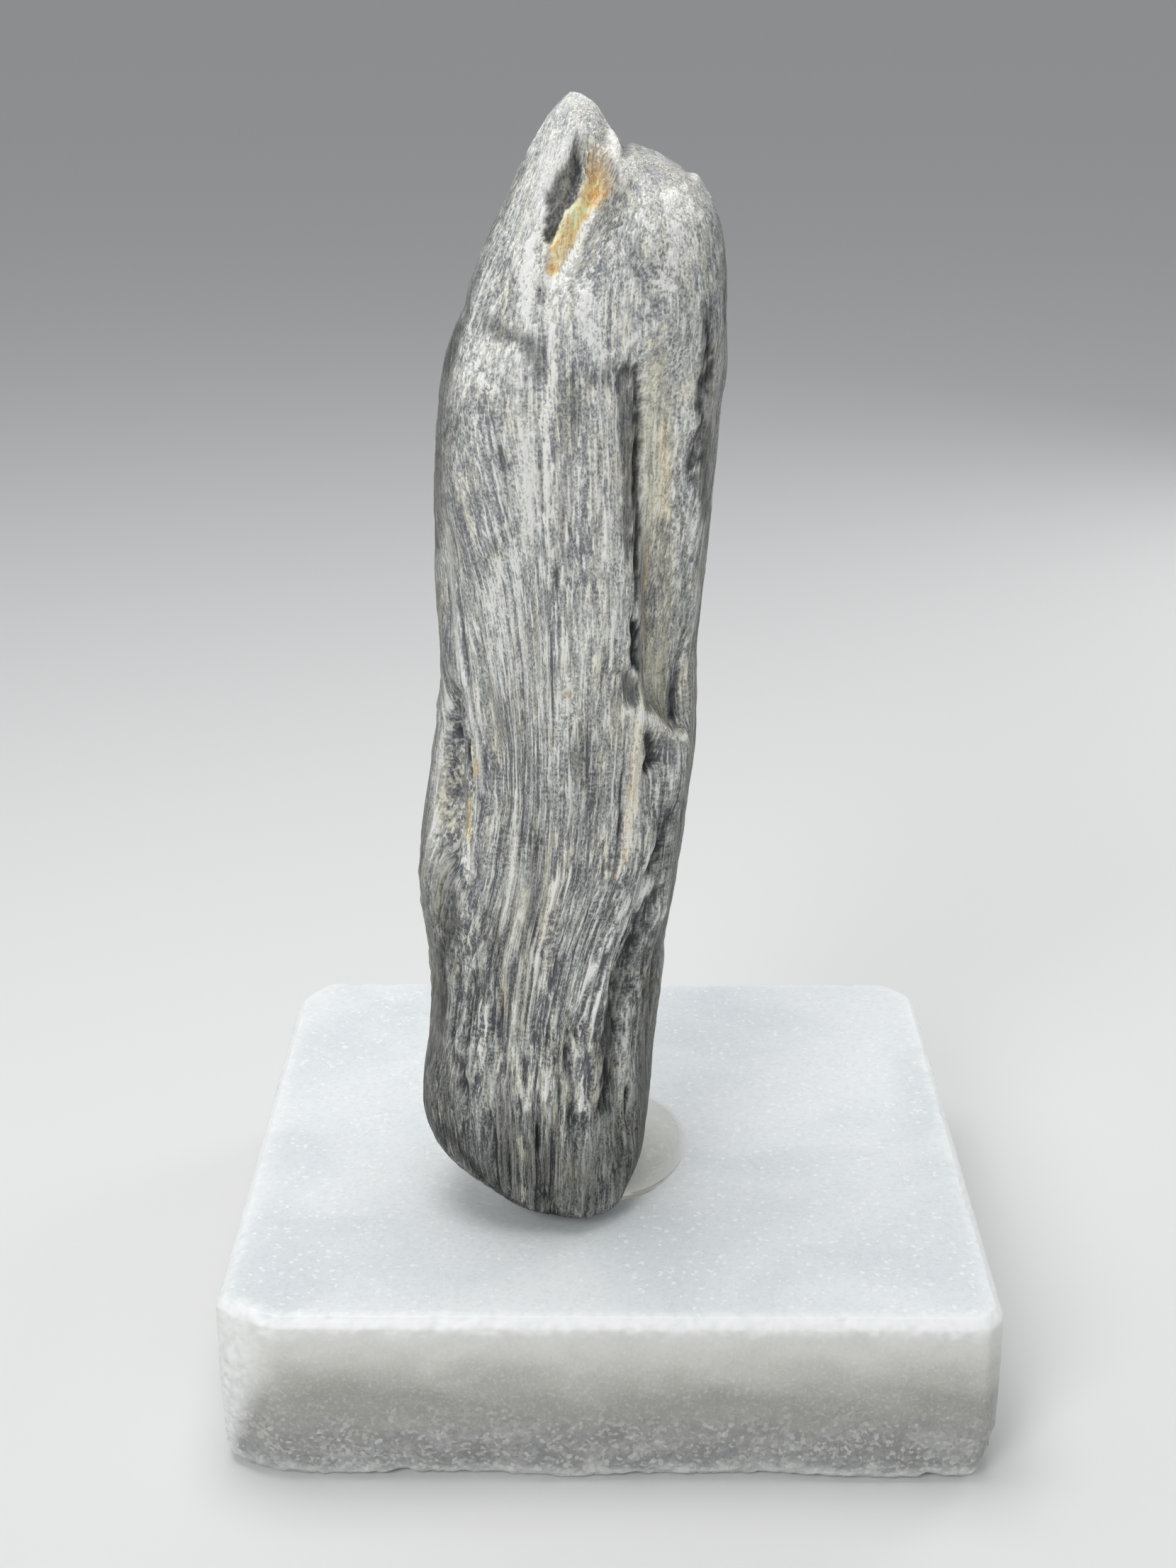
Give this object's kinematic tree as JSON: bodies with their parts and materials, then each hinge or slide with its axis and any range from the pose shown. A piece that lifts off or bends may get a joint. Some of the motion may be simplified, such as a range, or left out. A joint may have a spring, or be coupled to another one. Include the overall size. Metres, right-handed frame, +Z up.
{
  "type": "petrified wood on stand",
  "caption": "Upright piece of grey petrified wood with its foot bedded in clear resin on a square white marble block.",
  "frame": {"origin": "middle of the marble block's underside", "axes": "+Z up along the wood, -Y towards the front face, +X to the right as seen from the front"},
  "size_m": [0.102, 0.102, 0.1733],
  "materials": {
    "marble": "honed top, sawn and broken sides",
    "clear_resin": "clear, smooth",
    "petrified_wood": "natural, matt, fibrous"
  },
  "bodies": {
    "root": {"marble_slab": "marble", "clear_resin_bead": "clear_resin", "petrified_wood": "petrified_wood"}
  },
  "joints": []
}
